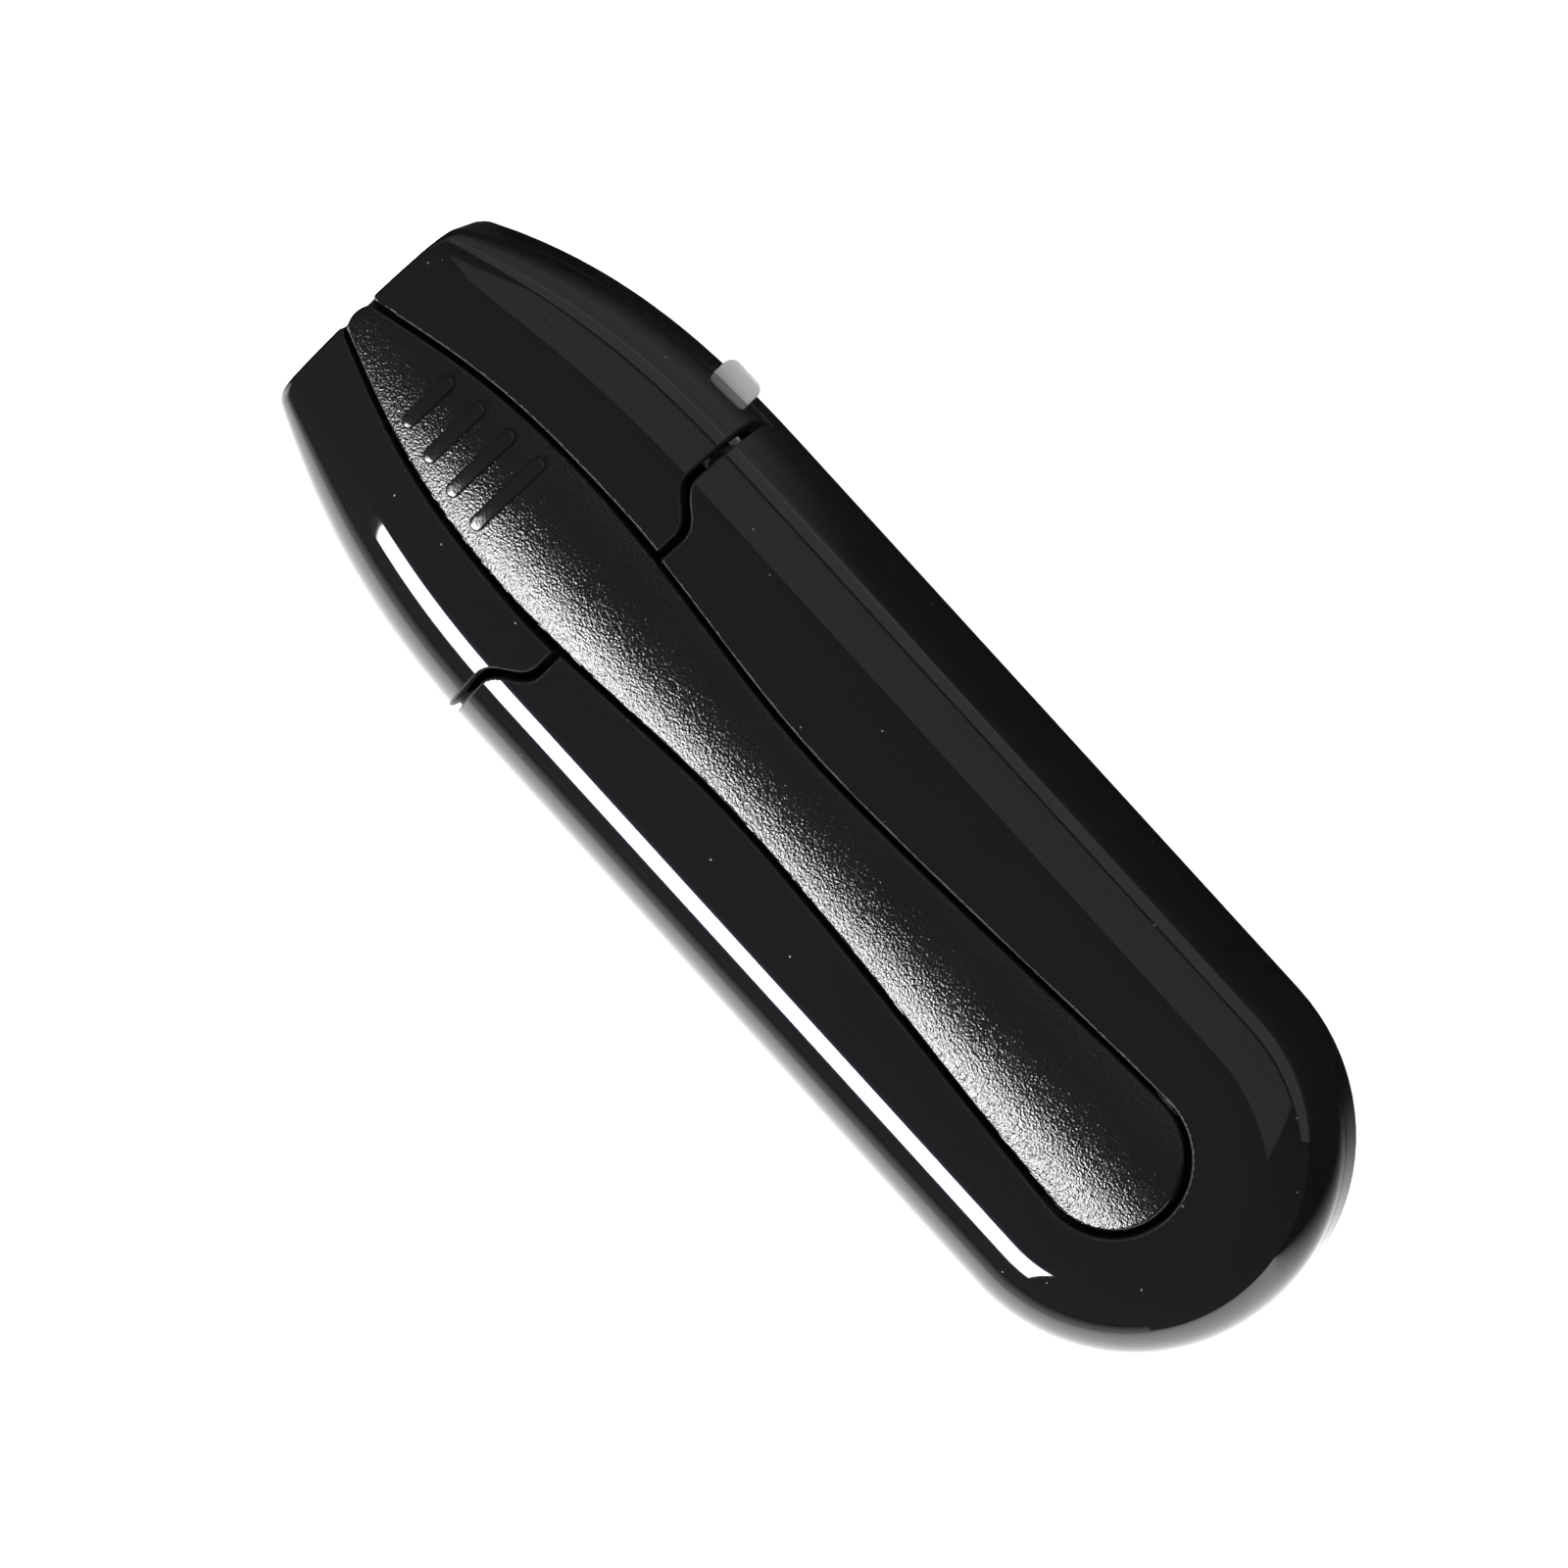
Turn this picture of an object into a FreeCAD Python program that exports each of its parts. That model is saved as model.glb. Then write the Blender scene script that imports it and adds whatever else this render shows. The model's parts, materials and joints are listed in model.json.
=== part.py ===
import FreeCAD, Part
import math
import os

# Lever-action wick trimmer with an enclosed catch chamber.
# Millimetres. +X runs to the cutting mouth, +Y to the left side and +Z up.
# The origin is the middle of the flat underside.

V = FreeCAD.Vector
ALONG_Y = V(0, 1, 0)
ALONG_Z = V(0, 0, 1)
HALF_TURN = 180

# Casing: the plan tapers over the head, and the tail is half a circle.
LENGTH = 92.0
FRONT_X = LENGTH / 2
HALF_WIDTH = 14.7
TAIL_X = HALF_WIDTH - LENGTH / 2
HEAD_LENGTH = 28.0
NOSE_TAPER = 6.2
TAPER_POWER = 2.75
CROWN_Z = 14.6
CROWN_RADIUS = 59.5
NOSE_DROP = 3.1
DROP_LENGTH = 26.4
SHOULDER = 5.6
SHOULDER_NARROWING = 3.6
NARROWING_POWER = 5.0
FRONT_BOW_RADIUS = 144.0
NOSE_ROUND = 1.0
NOSE_ROUND_RISE = 0.6
NOSE_STATIONS = (0.0, 0.1, 0.3, 0.6, 1.0)
LOFT_STATIONS = (1.0, 2.5, 4.5, 7.0, 10.0, 14.0, 18.0, 22.0, 25.0, 28.0, 31.0)
RIM_ROUND = 0.25
LEVER_ROUND = 0.5
SEAM_ANGLE = 25.0
SKIN_TOLERANCE = 0.005
PARTING_Z = 6.0
PARTING_GAP = 0.05
WALL = 1.6
FRONT_WALL = 1.4
UNDER_ROUND = 2.6
MOUTH_HALF_WIDTH = 6.8
BEYOND = 5.0

# Split between the sliding hood and the fixed cover, an S in plan on each side.
SPLIT_MID_X = 19.6
SPLIT_SIDE_X = 22.1
SPLIT_MID_Y = 6.6
SPLIT_SIDE_Y = 10.3
SPLIT_GAP = 0.6
SPLIT_SIDE_SHIFT = 0.25

# Lever: half-widths of its plan, each with its distance behind the front edge.
LEVER_PLAN = ((0.4, 1.2), (3.0, 2.0), (8.5, 3.5), (14.0, 4.4), (20.0, 4.77), (25.6, 4.6),
              (33.0, 3.95), (42.0, 3.3), (50.0, 3.45), (62.6, 4.25))
LEVER_END_RADIUS = 5.2
LEVER_WIDEST = 20.0
HOOD_SPAN = 27.0
LEVER_BOTTOM_Z = 9.9
LEVER_PROUD = 0.3
LEVER_CROWN_RADIUS = 15.0
LEVER_CLEARANCE = 0.35
END_STRETCH = 1.5
HINGE_Z = 11.7
HEEL_RISE = 0.9
RIB_STATIONS = ((8.1, 4.8), (10.9, 5.7), (13.7, 6.4), (16.5, 7.0))
RIB_WIDTH = 1.1
RIB_HEIGHT = 0.3
RIB_DEPTH = 1.0
RIB_ROUND = 0.2

# Channel that the lever lies in.
FLOOR_TOP_Z = 9.6
FLOOR_THICKNESS = 1.0
FLOOR_BOTTOM_Z = FLOOR_TOP_Z - FLOOR_THICKNESS
CHANNEL_WALL = 1.2
WINDOW_X = (-10.0, -1.0)
WINDOW_HALF_WIDTH = 3.2

# Lever's steel frame, its rivets and its press foot.
FRAME_INSET = 0.8
FRAME_THICKNESS = 1.0
FRAME_X = (-29.4, 38.0)
RIVET_X = (-18.0, 10.0, 30.0)
RIVET_RADIUS = 0.7
RIVET_HEAD_RADIUS = 1.2
RIVET_LENGTH = 1.5
EYE_Y = (3.2, 4.2)
EYE_HALF_LENGTH = 1.9
EYE_TOP_Z = 13.2
FOOT_X = -5.0
FOOT_HALF_LENGTH = 1.2
FOOT_HALF_WIDTH = 2.3
PAD_RADIUS = 1.5
PAD_CLEARANCE = 0.06
PAD_GROOVE_DEPTH = 0.5

# Hinge pin and the steel bracket that carries it.
HINGE_PIN_RADIUS = 0.75
RUNNING_CLEARANCE = 0.05
PIN_PASSAGE_RADIUS = 1.0
BRACKET_Y = (6.9, 7.7)
BRACKET_EAR_HALF_LENGTH = 2.0
BRACKET_TOP_Z = 13.0
BRACKET_BASE_Z = 3.6
BRACKET_BASE_HALF_LENGTH = 3.6
BRACKET_THICKNESS = 1.0
BRACKET_SCREW_Y = 4.0
EAR_RELIEF = 0.16
CLIP_RADIUS = 1.3
CLIP_THICKNESS = 0.4
HINGE_WASHER_Y = (5.22, 5.4)
HINGE_WASHER_RADIUS = 1.3

# Jaws.
JAW_PIN_X = 24.0
JAW_PIN_Z = 5.2
JAW_PIN_RADIUS = 0.8
JAW_PIN_HEAD_RADIUS = 1.2
JAW_PIN_HEAD = 0.6
JAW_TIP_X = 45.0
UPPER_JAW_Z = (7.3, 8.3)
UPPER_JAW_HALF_WIDTH = 6.0
UPPER_JAW_REAR_X = 13.0
UPPER_EDGE_Z = 6.15
EDGE_LENGTH = 1.2
EDGE_BEVEL = 0.5
JAW_FOOT_X = 15.5
JAW_FOOT_Y = 8.2
JAW_FOOT_HALF_WIDTH = 10.4
JAW_FOOT_FRONT_X = 18.0
JAW_WAIST_X = 19.3
JAW_EAR_Y = (3.9, 4.9)
JAW_EAR_HALF_LENGTH = 2.5
JAW_EAR_BOTTOM_Z = 3.9
STOP_X = (43.0, 43.8)
STOP_DEPTH = 0.8
STOP_WIDTH = 0.6
ARM_Z = (3.5, 4.7)
ARM_REAR_X = -8.0
ARM_HALF_WIDTH = 3.0
ARM_BEND_X = (17.0, 21.0)
LOWER_PLATE_Z = (4.9, 5.8)
LOWER_EDGE_Z = 6.1
BARREL_RADIUS = 1.7
BARREL_HALF_LENGTH = 3.65
LOWER_JAW_HALF_WIDTH = 5.2
LOWER_JAW_WIDE_X = 28.0
LUG_X = (6.0, 8.5)
LUG_END_Y = -6.5
JAW_WASHER_Y = (3.7, 3.85)

# Hood rails that ride on the upper jaw's edges.
RAIL_Y = (6.2, 7.0)
RAIL_X = (20.4, 44.2)
RAIL_BOTTOM_Z = 6.5
LIP_TOP_Z = 7.0
LIP_INNER_Y = 5.3
LIP_FRONT_X = 24.4

# Return spring under the rocker's rear arm.
SPRING_X = 2.0
SPRING_RADIUS = 2.2
SPRING_WIRE = (0.5, 0.36)
SPRING_TURNS = 2.5
SPRING_MARGIN = 0.05
SPRING_POST_RADIUS = 1.2
SPRING_POST_HEIGHT = 0.9

# Lock slider, its guide screws and the notch that its tab comes out of.
SLIDER_Z = (5.0, 5.7)
SLIDER_OUTER_Y = -12.4
SLIDER_NARROW_Y = -11.0
SLIDER_WIDE_Y = -9.4
SLIDER_END_X = (7.4, 26.6)
SLIDER_WIDE_SPANS = ((7.4, 12.6), (19.3, 24.3))
SLIDER_TRAVEL = 1.8
SLOT_START_X = (8.9, 20.9)
SLOT_Y = -10.9
SLOT_HALF_WIDTH = 0.85
FINGER_X = (9.0, 11.5)
FINGER_END_Y = -5.2
FINGER_THICKNESS = 0.5
TAB_X = (23.4, 26.6)
TAB_END_Y = -16.0
TAB_CORNER = 0.7
NOTCH_X = (21.3, 26.9)
NOTCH_BOTTOM_Z = 4.8
GUIDE_BOSS_RADIUS = 1.5
GUIDE_WASHER_Z = (5.73, 5.95)
GUIDE_SCREW_TOP_Z = 6.6

# Screws.
SCREW_RADIUS = 0.8
SCREW_HEAD_RADIUS = 1.6
SCREW_HEAD = 0.9
DRIVE_RADIUS = 0.75
DRIVE_DEPTH = 0.5
COVER_SCREW_PLACES = ((-40.5, 0.0), (-16.0, 9.8), (-16.0, -9.8), (3.0, 8.2), (3.0, -8.2))
COVER_SCREW_TOP_Z = 9.6
COVER_SCREW_SEAT_Z = 1.3
COVER_SCREW_SUNK_Z = 0.3
COVER_BOSS_RADIUS = 2.5
JAW_POST_RADIUS = 2.2
BRACKET_POST_RADIUS = 2.0
SCREW_ROOT_Z = 2.2


def behind_front(x):
    return FRONT_X - x


def nose_round(x):
    """How far the outline has curved in at x, as the front corners round over."""
    reach = max(NOSE_ROUND - behind_front(x), 0.0)
    return NOSE_ROUND - math.sqrt(NOSE_ROUND ** 2 - min(reach, NOSE_ROUND) ** 2)


def half_width(x):
    reach = max(HEAD_LENGTH - behind_front(x), 0.0) / HEAD_LENGTH
    return HALF_WIDTH - NOSE_TAPER * reach ** TAPER_POWER - nose_round(x)


def ridge_height(x):
    reach = max(DROP_LENGTH - behind_front(x), 0.0) / DROP_LENGTH
    return CROWN_Z - NOSE_DROP * reach ** 2


def crown_height(x):
    return ridge_height(x) - NOSE_ROUND_RISE * nose_round(x)


def shoulder_width(x):
    reach = max(HEAD_LENGTH - behind_front(x), 0.0) / HEAD_LENGTH
    return SHOULDER - SHOULDER_NARROWING * reach ** NARROWING_POWER


def box(x, y, z):
    """Box between the low and high value of each axis."""
    size = (x[1] - x[0], y[1] - y[0], z[1] - z[0])
    return Part.makeBox(size[0], size[1], size[2], V(x[0], y[0], z[0]))


def both_sides(shape):
    return [shape, shape.mirror(V(0, 0, 0), ALONG_Y)]


def post(x, y, z, radius):
    return Part.makeCylinder(radius, z[1] - z[0], V(x, y, z[0]))


def cross_shaft(x, z, radius, y):
    """Round bar along Y between the two values in y."""
    return Part.makeCylinder(radius, y[1] - y[0], V(x, y[0], z), ALONG_Y)


def joined(shapes):
    whole = shapes[0]
    if len(shapes) > 1:
        whole = whole.fuse(shapes[1:])
    return whole.removeSplitter()


def prism(points, direction):
    wire = Part.makePolygon(points + [points[0]])
    return Part.Face(wire).extrude(direction)


def plate(points, z):
    """Flat plate from plan points (x, y), between two heights."""
    return prism([V(x, y, z[0]) for x, y in points], V(0, 0, z[1] - z[0]))


def side_profile(points, half):
    """Bar from side-view points (x, z), half wide each way from the middle."""
    return prism([V(x, -half, z) for x, z in points], V(0, 2 * half, 0))


# ---- casing sections -------------------------------------------------------

def upper_edges(x, inset, bottom):
    """One side of the upper section: side wall, shoulder arc and crown arc."""
    outer = half_width(x)
    shelf = outer - shoulder_width(x)
    width = outer - inset
    top = crown_height(x) - inset
    tilt = math.asin(shelf / CROWN_RADIUS)
    shelf_z = top - CROWN_RADIUS * (1 - math.cos(tilt))
    radius = (width - shelf) / (1 - math.sin(tilt))
    centre = V(x, shelf - radius * math.sin(tilt), shelf_z - radius * math.cos(tilt))
    middle = (math.pi / 2 + tilt) / 2
    on_arc = centre + V(0, math.sin(middle), math.cos(middle)) * radius
    side_top = V(x, width, centre.z)
    wall = Part.makeLine(V(x, width, bottom), side_top)
    shoulder = Part.Arc(side_top, on_arc, V(x, shelf, shelf_z)).toShape()
    return wall, shoulder, V(x, shelf, shelf_z), V(x, 0, top)


def upper_section(x, inset, bottom):
    wall, shoulder, shelf, top = upper_edges(x, inset, bottom)
    across = V(shelf.x, -shelf.y, shelf.z)
    crown = Part.Arc(shelf, top, across).toShape()
    far_shoulder = shoulder.mirror(V(0, 0, 0), ALONG_Y)
    far_wall = wall.mirror(V(0, 0, 0), ALONG_Y)
    near_foot = V(x, half_width(x) - inset, bottom)
    base = Part.makeLine(V(x, -near_foot.y, bottom), near_foot)
    return Part.Wire(Part.__sortEdges__([wall, shoulder, crown, far_shoulder, far_wall, base]))


def upper_half_section(inset, bottom):
    wall, shoulder, shelf, top = upper_edges(TAIL_X, inset, bottom)
    tilt = math.asin(shelf.y / CROWN_RADIUS) / 2
    centre_z = top.z - CROWN_RADIUS
    on_crown = V(TAIL_X, CROWN_RADIUS * math.sin(tilt), centre_z + CROWN_RADIUS * math.cos(tilt))
    crown = Part.Arc(shelf, on_crown, top).toShape()
    foot = V(TAIL_X, 0, bottom)
    axis = Part.makeLine(top, foot)
    base = Part.makeLine(foot, V(TAIL_X, HALF_WIDTH - inset, bottom))
    return Part.Wire(Part.__sortEdges__([wall, shoulder, crown, axis, base]))


def lower_corner(x, inset, floor):
    """Rounded corner between the floor and the side wall."""
    width = half_width(x) - inset
    floor = floor + NOSE_ROUND_RISE * nose_round(x)
    radius = UNDER_ROUND - inset
    bend = radius * (1 - math.sqrt(0.5))
    start = V(x, width - radius, floor)
    end = V(x, width, floor + radius)
    return start, Part.Arc(start, V(x, width - bend, floor + bend), end).toShape(), end


def lower_section(x, inset, floor, top):
    start, corner, end = lower_corner(x, inset, floor)
    wall = Part.makeLine(end, V(x, end.y, top))
    base = Part.makeLine(V(x, -start.y, start.z), start)
    lid = Part.makeLine(V(x, end.y, top), V(x, -end.y, top))
    far_corner = corner.mirror(V(0, 0, 0), ALONG_Y)
    far_wall = wall.mirror(V(0, 0, 0), ALONG_Y)
    return Part.Wire(Part.__sortEdges__([base, corner, wall, lid, far_wall, far_corner]))


def lower_half_section(inset, floor, top):
    start, corner, end = lower_corner(TAIL_X, inset, floor)
    wall = Part.makeLine(end, V(TAIL_X, end.y, top))
    base = Part.makeLine(V(TAIL_X, 0, floor), start)
    lid = Part.makeLine(V(TAIL_X, end.y, top), V(TAIL_X, 0, top))
    axis = Part.makeLine(V(TAIL_X, 0, top), V(TAIL_X, 0, floor))
    return Part.Wire(Part.__sortEdges__([base, corner, wall, lid, axis]))


def casing(section, half_section):
    """Rounded nose, lofted head, straight body and revolved tail as one solid."""
    stations = [FRONT_X - behind for behind in LOFT_STATIONS]
    nose = Part.makeLoft([section(FRONT_X - behind) for behind in NOSE_STATIONS], True, False)
    head = Part.makeLoft([section(x) for x in stations], True, False)
    body = Part.Face(section(stations[-1])).extrude(V(TAIL_X - stations[-1], 0, 0))
    tail = Part.Face(half_section()).revolve(V(TAIL_X, 0, 0), ALONG_Z, HALF_TURN)
    return joined([nose, head, body, tail])


def bowed(shape, setback):
    """Front end trimmed to its slight bow."""
    centre = V(FRONT_X - FRONT_BOW_RADIUS, 0, -BEYOND)
    radius = FRONT_BOW_RADIUS - setback
    return shape.common(Part.makeCylinder(radius, CROWN_Z + 2 * BEYOND, centre))


def upper_outside():
    bottom = PARTING_Z + PARTING_GAP
    return bowed(casing(lambda x: upper_section(x, 0, bottom), lambda: upper_half_section(0, bottom)), 0)


def upper_inside():
    bottom = PARTING_Z - BEYOND
    solid = casing(lambda x: upper_section(x, WALL, bottom), lambda: upper_half_section(WALL, bottom))
    return bowed(solid, FRONT_WALL)


def lower_outside():
    solid = casing(
        lambda x: lower_section(x, 0, 0, PARTING_Z),
        lambda: lower_half_section(0, 0, PARTING_Z),
    )
    return bowed(solid, 0)


def lower_inside():
    top = PARTING_Z + BEYOND
    solid = casing(lambda x: lower_section(x, WALL, WALL, top), lambda: lower_half_section(WALL, WALL, top))
    return bowed(solid, FRONT_WALL)


def middle_of(edge):
    return edge.valueAt((edge.FirstParameter + edge.LastParameter) / 2)


def edge_angle(shape, edge):
    """Angle between the two faces at an edge, in degrees."""
    faces = shape.ancestorsOfType(edge, Part.Face)
    if len(faces) != 2:
        return 0.0
    point = middle_of(edge)
    normals = [face.normalAt(*face.Surface.parameter(point)) for face in faces]
    return math.degrees(normals[0].getAngle(normals[1]))


def softened(shape, outside):
    """Shape with a small round on every sharp edge that lies on the outside skin."""
    skin = Part.Shell(outside.Faces)
    floor = outside.BoundBox.ZMin + RIM_ROUND
    sharp = []
    for edge in shape.Edges:
        point = middle_of(edge)
        on_skin = point.z > floor and skin.distToShape(Part.Vertex(point))[0] < SKIN_TOLERANCE
        if on_skin and edge_angle(shape, edge) > SEAM_ANGLE:
            sharp.append(edge)
    return shape.makeFillet(RIM_ROUND, sharp)


# ---- split between hood and cover -----------------------------------------

def s_curve(side, setback, spread):
    """Cubic S from the side line to the middle line of the split."""
    outer = V(SPLIT_SIDE_X - setback, side * (SPLIT_SIDE_Y + spread), 0)
    inner = V(SPLIT_MID_X - setback, side * (SPLIT_MID_Y + spread), 0)
    middle = (outer.y + inner.y) / 2
    curve = Part.BezierCurve()
    curve.setPoles([outer, V(outer.x, middle, 0), V(inner.x, middle, 0), inner])
    return curve.toShape(), outer, inner


def split_region(setback, spread, far_x):
    """Everything on one side of the split line, as a tall solid."""
    left, left_outer, left_inner = s_curve(1, setback, spread)
    right, right_outer, right_inner = s_curve(-1, setback, spread)
    out = HALF_WIDTH + BEYOND
    corners = [left_outer, V(left_outer.x, out, 0), V(far_x, out, 0),
               V(far_x, -out, 0), V(right_outer.x, -out, 0), right_outer]
    edges = [Part.makeLine(corners[i], corners[i + 1]) for i in range(len(corners) - 1)]
    edges += [left, right, Part.makeLine(left_inner, right_inner)]
    face = Part.Face(Part.Wire(Part.__sortEdges__(edges)))
    return face.extrude(V(0, 0, CROWN_Z + BEYOND))


def hood_region():
    return split_region(0, 0, FRONT_X + BEYOND)


def cover_region():
    return split_region(SPLIT_GAP, SPLIT_SIDE_SHIFT, -FRONT_X - BEYOND)


# ---- lever -----------------------------------------------------------------

def lever_plan(extra, run_out, parallel_hood):
    """Plan of the lever as a face at z = 0, grown by extra, with its front end open by run_out."""
    stations = list(LEVER_PLAN)
    if parallel_hood:
        widest = max(width for _, width in LEVER_PLAN)
        stations = [(b, widest if LEVER_WIDEST <= b < HOOD_SPAN else w) for b, w in stations]
    side = [V(FRONT_X - behind, width + extra, 0) for behind, width in stations]
    side.append(V(TAIL_X, LEVER_END_RADIUS + extra, 0))
    curve = Part.BSplineCurve()
    curve.interpolate(side)
    upper = curve.toShape()
    lower = upper.mirror(V(0, 0, 0), ALONG_Y)
    end_top = side[-1]
    end_mid = V(TAIL_X - LEVER_END_RADIUS - extra * END_STRETCH, 0, 0)
    end = Part.Arc(end_top, end_mid, V(end_top.x, -end_top.y, 0)).toShape()
    tip = side[0]
    mirrored = V(tip.x, -tip.y, 0)
    if run_out > 0:
        ahead = V(tip.x + run_out, tip.y, 0)
        across = V(tip.x + run_out, -tip.y, 0)
        nose = [Part.makeLine(tip, ahead), Part.makeLine(ahead, across), Part.makeLine(across, mirrored)]
    else:
        nose = [Part.Arc(tip, V(FRONT_X, 0, 0), mirrored).toShape()]
    return Part.Face(Part.Wire(Part.__sortEdges__([upper, lower, end] + nose)))


def lever_prism(extra, z, run_out=0.0, parallel_hood=False):
    face = lever_plan(extra, run_out, parallel_hood)
    face.translate(V(0, 0, z[0]))
    return face.extrude(V(0, 0, z[1] - z[0]))


def lever_top(x):
    return ridge_height(x) + LEVER_PROUD


def crowned_bar():
    """Long bar whose top is crowned across and follows the casing's crown."""
    half = LEVER_END_RADIUS + LEVER_CLEARANCE
    drop = LEVER_CROWN_RADIUS - math.sqrt(LEVER_CROWN_RADIUS ** 2 - half ** 2)
    stations = (-LEVER_CLEARANCE,) + LOFT_STATIONS
    head = Part.makeLoft([bar_section(FRONT_X - behind, half, drop) for behind in stations], True, False)
    last = FRONT_X - LOFT_STATIONS[-1]
    end = TAIL_X - LEVER_END_RADIUS - LEVER_CLEARANCE * END_STRETCH
    body = Part.Face(bar_section(last, half, drop)).extrude(V(end - last, 0, 0))
    return joined([head, body])


def bar_section(x, half, drop):
    top = lever_top(x)
    corners = [V(x, half, top - drop), V(x, half, LEVER_BOTTOM_Z),
               V(x, -half, LEVER_BOTTOM_Z), V(x, -half, top - drop)]
    edges = [Part.makeLine(start, end) for start, end in zip(corners, corners[1:])]
    edges.append(Part.Arc(corners[-1], V(x, 0, top), corners[0]).toShape())
    return Part.Wire(Part.__sortEdges__(edges))


def rib(behind, length, raised):
    """Thumb rib: a bar across the lever with round ends, whose top follows the lever's raised crown."""
    x = FRONT_X - behind
    half = (length - RIB_WIDTH) / 2
    z = (lever_top(x) - RIB_DEPTH, CROWN_Z + BEYOND)
    bar = box((x - RIB_WIDTH / 2, x + RIB_WIDTH / 2), (-half, half), z)
    ends = [post(x, y, z, RIB_WIDTH / 2) for y in (-half, half)]
    blank = joined([bar] + ends).common(raised)
    sides = RIB_HEIGHT + LEVER_ROUND
    rim = [e for e in blank.Edges if e.BoundBox.ZLength < sides and middle_of(e).z > lever_top(x) - sides]
    return blank.makeFillet(RIB_ROUND, rim)


def heel_cut():
    """Wedge under the heel, so the tail clears the channel floor as the lever opens."""
    end = TAIL_X - LEVER_END_RADIUS - BEYOND
    rise = HEEL_RISE * (TAIL_X - end) / LEVER_END_RADIUS
    points = [(TAIL_X, LEVER_BOTTOM_Z), (end, LEVER_BOTTOM_Z), (end, LEVER_BOTTOM_Z + rise)]
    return side_profile(points, HALF_WIDTH)


def hinge_eye(grow):
    x = (TAIL_X - EYE_HALF_LENGTH, TAIL_X + EYE_HALF_LENGTH + grow)
    return box(x, EYE_Y, (LEVER_BOTTOM_Z, EYE_TOP_Z))


def frame_blank():
    """Steel frame before its holes: strip under the lever with two hinge eyes."""
    z = (LEVER_BOTTOM_Z, LEVER_BOTTOM_Z + FRAME_THICKNESS)
    strip = lever_prism(-FRAME_INSET, z)
    strip = strip.common(box(FRAME_X, (-HALF_WIDTH, HALF_WIDTH), z))
    overlap = FRAME_X[0] - TAIL_X
    return joined([strip] + both_sides(hinge_eye(overlap - EYE_HALF_LENGTH + FRAME_THICKNESS)))


def rivet(x):
    plate_top = LEVER_BOTTOM_Z + FRAME_THICKNESS
    head = Part.makeCone(RIVET_HEAD_RADIUS, RIVET_RADIUS, FRAME_THICKNESS, V(x, 0, LEVER_BOTTOM_Z))
    return joined([head, post(x, 0, (plate_top, plate_top + RIVET_LENGTH), RIVET_RADIUS)])


def pad_z():
    return ARM_Z[1] + PAD_CLEARANCE + PAD_RADIUS


def press_pad():
    """Nylon shoe that bears on the rocker arm."""
    return cross_shaft(FOOT_X, pad_z(), PAD_RADIUS, (-FOOT_HALF_WIDTH, FOOT_HALF_WIDTH))


def lever_frame():
    foot_x = (FOOT_X - FOOT_HALF_LENGTH, FOOT_X + FOOT_HALF_LENGTH)
    foot = box(foot_x, (-FOOT_HALF_WIDTH, FOOT_HALF_WIDTH), (pad_z() + PAD_GROOVE_DEPTH, LEVER_BOTTOM_Z))
    whole = joined([frame_blank(), foot]).cut(heel_cut())
    bore = cross_shaft(TAIL_X, HINGE_Z, HINGE_PIN_RADIUS + RUNNING_CLEARANCE, (-HALF_WIDTH, HALF_WIDTH))
    return whole.cut([bore, press_pad()] + [rivet(x) for x in RIVET_X])


def lever_rivets():
    return Part.makeCompound([rivet(x) for x in RIVET_X])


def lever_cover():
    """Moulded lever with its thumb ribs, hollowed under for the frame."""
    blank = lever_prism(0, (LEVER_BOTTOM_Z, CROWN_Z + BEYOND)).common(crowned_bar())
    high = [e for e in blank.Edges if middle_of(e).z > LEVER_BOTTOM_Z + FRAME_THICKNESS]
    blank = blank.makeFillet(LEVER_ROUND, [e for e in high if edge_angle(blank, e) > SEAM_ANGLE])
    raised = crowned_bar()
    raised.translate(V(0, 0, RIB_HEIGHT))
    ribs = [rib(behind, length, raised) for behind, length in RIB_STATIONS]
    whole = joined([blank] + ribs).cut(heel_cut())
    bore = cross_shaft(TAIL_X, HINGE_Z, PIN_PASSAGE_RADIUS, (-HALF_WIDTH, HALF_WIDTH))
    return whole.cut([frame_blank(), bore] + [rivet(x) for x in RIVET_X])


# ---- screws ----------------------------------------------------------------

def pan_screw(x, y, root, seat):
    """Pan-head screw standing on seat, with a socket in its head."""
    head = post(x, y, (seat, seat + SCREW_HEAD), SCREW_HEAD_RADIUS)
    shank = post(x, y, (root, seat), SCREW_RADIUS)
    top = seat + SCREW_HEAD
    return joined([head, shank]).cut(post(x, y, (top - DRIVE_DEPTH, top + BEYOND), DRIVE_RADIUS))


def cover_screw(x, y):
    """Screw driven up from the underside."""
    head = post(x, y, (COVER_SCREW_SUNK_Z, COVER_SCREW_SEAT_Z), SCREW_HEAD_RADIUS)
    shank = post(x, y, (COVER_SCREW_SEAT_Z, COVER_SCREW_TOP_Z), SCREW_RADIUS)
    socket = post(x, y, (0, COVER_SCREW_SUNK_Z + DRIVE_DEPTH), DRIVE_RADIUS)
    return joined([head, shank]).cut(socket)


def cover_screws():
    return Part.makeCompound([cover_screw(x, y) for x, y in COVER_SCREW_PLACES])


def bracket_screws():
    seat = BRACKET_BASE_Z + BRACKET_THICKNESS
    return Part.makeCompound([pan_screw(TAIL_X, side * BRACKET_SCREW_Y, SCREW_ROOT_Z, seat)
                              for side in (1, -1)])


def jaw_screws():
    return Part.makeCompound([pan_screw(JAW_FOOT_X, side * JAW_FOOT_Y, SCREW_ROOT_Z, UPPER_JAW_Z[1])
                              for side in (1, -1)])


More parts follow.
